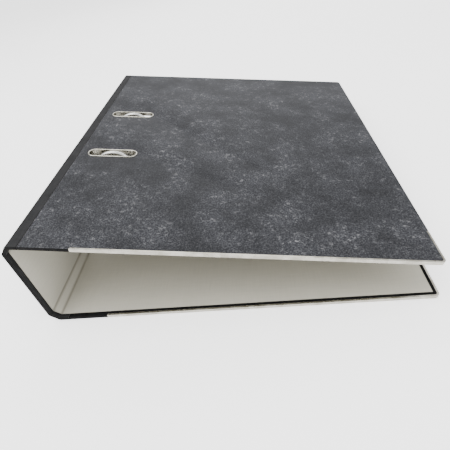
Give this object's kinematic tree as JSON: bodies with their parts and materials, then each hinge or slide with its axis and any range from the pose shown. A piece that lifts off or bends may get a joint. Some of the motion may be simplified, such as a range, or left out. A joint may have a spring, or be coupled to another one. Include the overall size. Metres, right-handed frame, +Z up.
{
  "type": "lever arch file",
  "caption": "Board lever arch file with hinged marbled covers, metal edge guards, slotted front cover, and a lever mechanism with two arches and posts.",
  "frame": {"origin": "centre of the bounding box's footprint, on the outer face of the back cover that the file lies on", "axes": "+X from the spine to the fore edge, +Y from the foot to the head, +Z up from the back cover to the front cover"},
  "size_m": [0.284, 0.318, 0.0797],
  "materials": {
    "marbled_paper": "matt printed paper, cloud marbled",
    "black_cloth": "matt bookbinding cloth",
    "grey_board": "raw grey board",
    "lining_paper": "matt linen-embossed paper",
    "guard_steel": "bright nickel plate",
    "nickel_steel": "nickel-plated steel",
    "black_plastic": "moulded, satin",
    "label_paper": "uncoated paper"
  },
  "bodies": {
    "back_cover": {"back_board": "grey_board", "back_cover_paper": "marbled_paper", "back_cloth_lap": "black_cloth", "back_lining": "lining_paper", "back_edge_guard": "guard_steel", "base_plate": "nickel_steel", "post_lower": "nickel_steel", "post_upper": "nickel_steel", "mechanism_rivet_lower_spine": "nickel_steel", "mechanism_rivet_upper_spine": "nickel_steel", "mechanism_rivet_lower_fore": "nickel_steel", "mechanism_rivet_upper_fore": "nickel_steel"},
    "back_band": {"back_band_board": "grey_board", "back_band_cloth": "black_cloth", "back_band_lining": "lining_paper"},
    "spine": {"spine_board": "grey_board", "spine_cloth": "black_cloth", "spine_lining": "lining_paper", "finger_ring": "guard_steel", "spine_label": "label_paper"},
    "front_band": {"front_band_board": "grey_board", "front_band_cloth": "black_cloth", "front_band_lining": "lining_paper"},
    "front_cover": {"front_board": "grey_board", "front_cover_paper": "marbled_paper", "front_cloth_lap": "black_cloth", "front_lining": "lining_paper", "front_edge_guard": "guard_steel", "slot_eyelet_lower": "guard_steel", "slot_eyelet_upper": "guard_steel"},
    "arch": {"arch_wire": "nickel_steel"},
    "lever": {"lever": "nickel_steel", "lever_grip": "black_plastic", "lever_pivot_pin": "nickel_steel", "roller_pin": "nickel_steel"},
    "roller": {"roller": "nickel_steel"},
    "spring": {"leaf_spring": "nickel_steel"}
  },
  "joints": [
    {"name": "back_fold", "type": "hinge", "parent": "back_cover", "child": "back_band", "pos_m": [-0.13502, 0, 0], "axis": [0, -1, 0], "range_deg": [0, 45]},
    {"name": "spine_fold", "type": "hinge", "parent": "back_band", "child": "spine", "pos_m": [-0.14138, 0, 0.00636], "axis": [0, -1, 0], "range_deg": [0, 45]},
    {"name": "front_fold", "type": "hinge", "parent": "spine", "child": "front_band", "pos_m": [-0.14138, 0, 0.07286], "axis": [0, -1, 0], "range_deg": [0, 40]},
    {"name": "cover_fold", "type": "hinge", "parent": "front_band", "child": "front_cover", "pos_m": [-0.1356, 0, 0.07976], "axis": [0, -1, 0], "range_deg": [0, 59.1]},
    {"name": "arch_swing", "type": "hinge", "parent": "back_cover", "child": "arch", "pos_m": [-0.11827, 0, 0.009], "axis": [0, -1, 0], "range_deg": [0, 38]},
    {"name": "lever_lift", "type": "hinge", "parent": "back_cover", "child": "lever", "pos_m": [-0.10627, 0.02, 0.0149], "axis": [-1, 0, 0], "range_deg": [0, 95]},
    {"name": "roller_spin", "type": "hinge", "parent": "lever", "child": "roller", "pos_m": [-0.10627, 0, 0.0149], "axis": [1, 0, 0], "continuous": true},
    {"name": "spring_flex", "type": "hinge", "parent": "back_cover", "child": "spring", "pos_m": [-0.09252, 0, 0.0045], "axis": [0, 1, 0], "range_deg": [0, 18]}
  ],
  "couplings": [
    {"joint": "spine_fold", "follows": "back_fold", "ratio": 1},
    {"joint": "arch_swing", "follows": "back_fold", "ratio": 0.8444},
    {"joint": "lever_lift", "follows": "back_fold", "ratio": 2.1111},
    {"joint": "spring_flex", "follows": "back_fold", "ratio": 0.4},
    {"joint": "cover_fold", "follows": "front_fold", "ratio": 1.4775}
  ]
}
